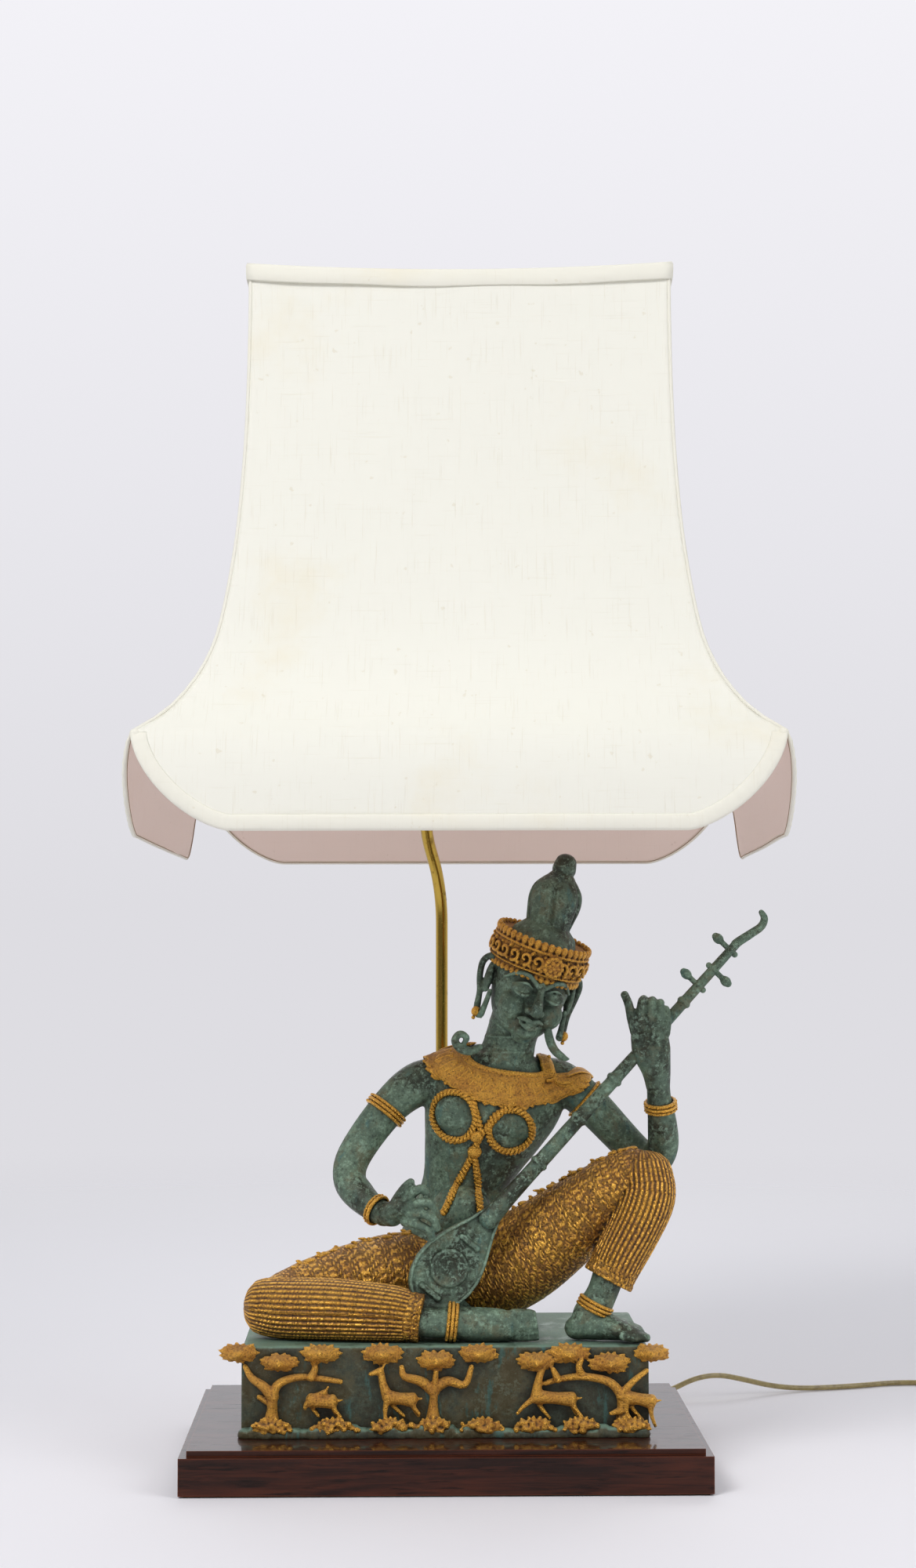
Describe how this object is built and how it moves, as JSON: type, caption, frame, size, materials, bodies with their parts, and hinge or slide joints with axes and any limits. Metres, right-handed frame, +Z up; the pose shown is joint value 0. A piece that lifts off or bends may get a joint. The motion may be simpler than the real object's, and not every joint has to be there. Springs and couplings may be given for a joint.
{
  "type": "figural table lamp",
  "caption": "Parcel-gilt bronze lute player seated on a cast pedestal and wood base, with a rear brass tube, harp and square pagoda shade.",
  "frame": {"origin": "centre of the underside, on the table", "axes": "+Z up the lamp; +X to the viewer's right; the figure looks towards -Y"},
  "size_m": [0.7656, 0.6104, 0.8805],
  "materials": {
    "wood": "dark gloss polish",
    "felt": "felt",
    "bronze_patina": "verdigris patina",
    "plated_steel": "zinc plated",
    "gilt": "worn gilding",
    "brass": "aged lacquer",
    "flex": "clear gold vinyl",
    "fibre": "insulating card",
    "phenolic": "moulded",
    "bulb_glass": "frosted",
    "shade_cloth": "cotton slub on card",
    "shade_binding": "cotton tape",
    "frame_wire": "white dip",
    "plug": "moulded vinyl"
  },
  "bodies": {
    "stand": {"wood_base": "wood", "felt_pad": "felt", "pedestal_casting": "bronze_patina", "pedestal_screws": "plated_steel", "pedestal_frieze": "gilt", "figure_torso": "bronze_patina", "figure_head": "bronze_patina", "figure_diadem": "gilt", "leg_raised": "gilt", "leg_folded": "gilt", "arm_plucking": "bronze_patina", "arm_fretting": "bronze_patina", "hand_plucking": "bronze_patina", "hand_fretting": "bronze_patina", "figure_collar": "gilt", "figure_bangles": "gilt", "chest_cord": "gilt", "lute_body": "bronze_patina", "lute_neck": "bronze_patina", "lute_pegs": "bronze_patina", "brass_tube": "brass", "inner_lead": "flex", "tube_washer": "plated_steel", "tube_nut": "plated_steel", "tube_flange": "brass", "saddle_nut": "brass", "harp_saddle": "brass", "socket_cap": "brass", "socket_shell": "brass", "socket_liner": "fibre", "socket_insulator": "phenolic", "screw_shell": "brass", "centre_contact": "brass", "harp": "brass", "harp_ferrules": "brass", "cord_bushing": "plug", "bushing_lead": "flex", "cord_lead": "flex", "cord_coil": "flex", "plug_body": "plug", "plug_blades": "brass"},
    "shade": {"shade_panel_front": "shade_cloth", "shade_panel_back": "shade_cloth", "shade_panel_right": "shade_cloth", "shade_panel_left": "shade_cloth", "shade_top_binding": "shade_binding", "shade_frame": "frame_wire"},
    "finial": {"finial": "brass"},
    "bulb": {"bulb_glass": "bulb_glass", "bulb_cap": "brass"},
    "switch_knob": {"switch_knob": "phenolic"}
  },
  "joints": [
    {"name": "shade_swivel", "type": "hinge", "parent": "stand", "child": "shade", "pos_m": [0.01085, 0.01299, 0.85085], "axis": [-0.0131, 0.0332, 0.9994], "continuous": true},
    {"name": "finial_turn", "type": "hinge", "parent": "stand", "child": "finial", "pos_m": [0.01079, 0.01312, 0.85484], "axis": [-0.0131, 0.0332, 0.9994], "continuous": true},
    {"name": "bulb_turn", "type": "hinge", "parent": "stand", "child": "bulb", "pos_m": [0.01348, 0.00633, 0.64997], "axis": [-0.0131, 0.0332, 0.9994], "continuous": true},
    {"name": "switch_turn", "type": "hinge", "parent": "stand", "child": "switch_knob", "pos_m": [0.01364, -0.01409, 0.63785], "axis": [0, -0.9995, 0.0332], "continuous": true}
  ]
}
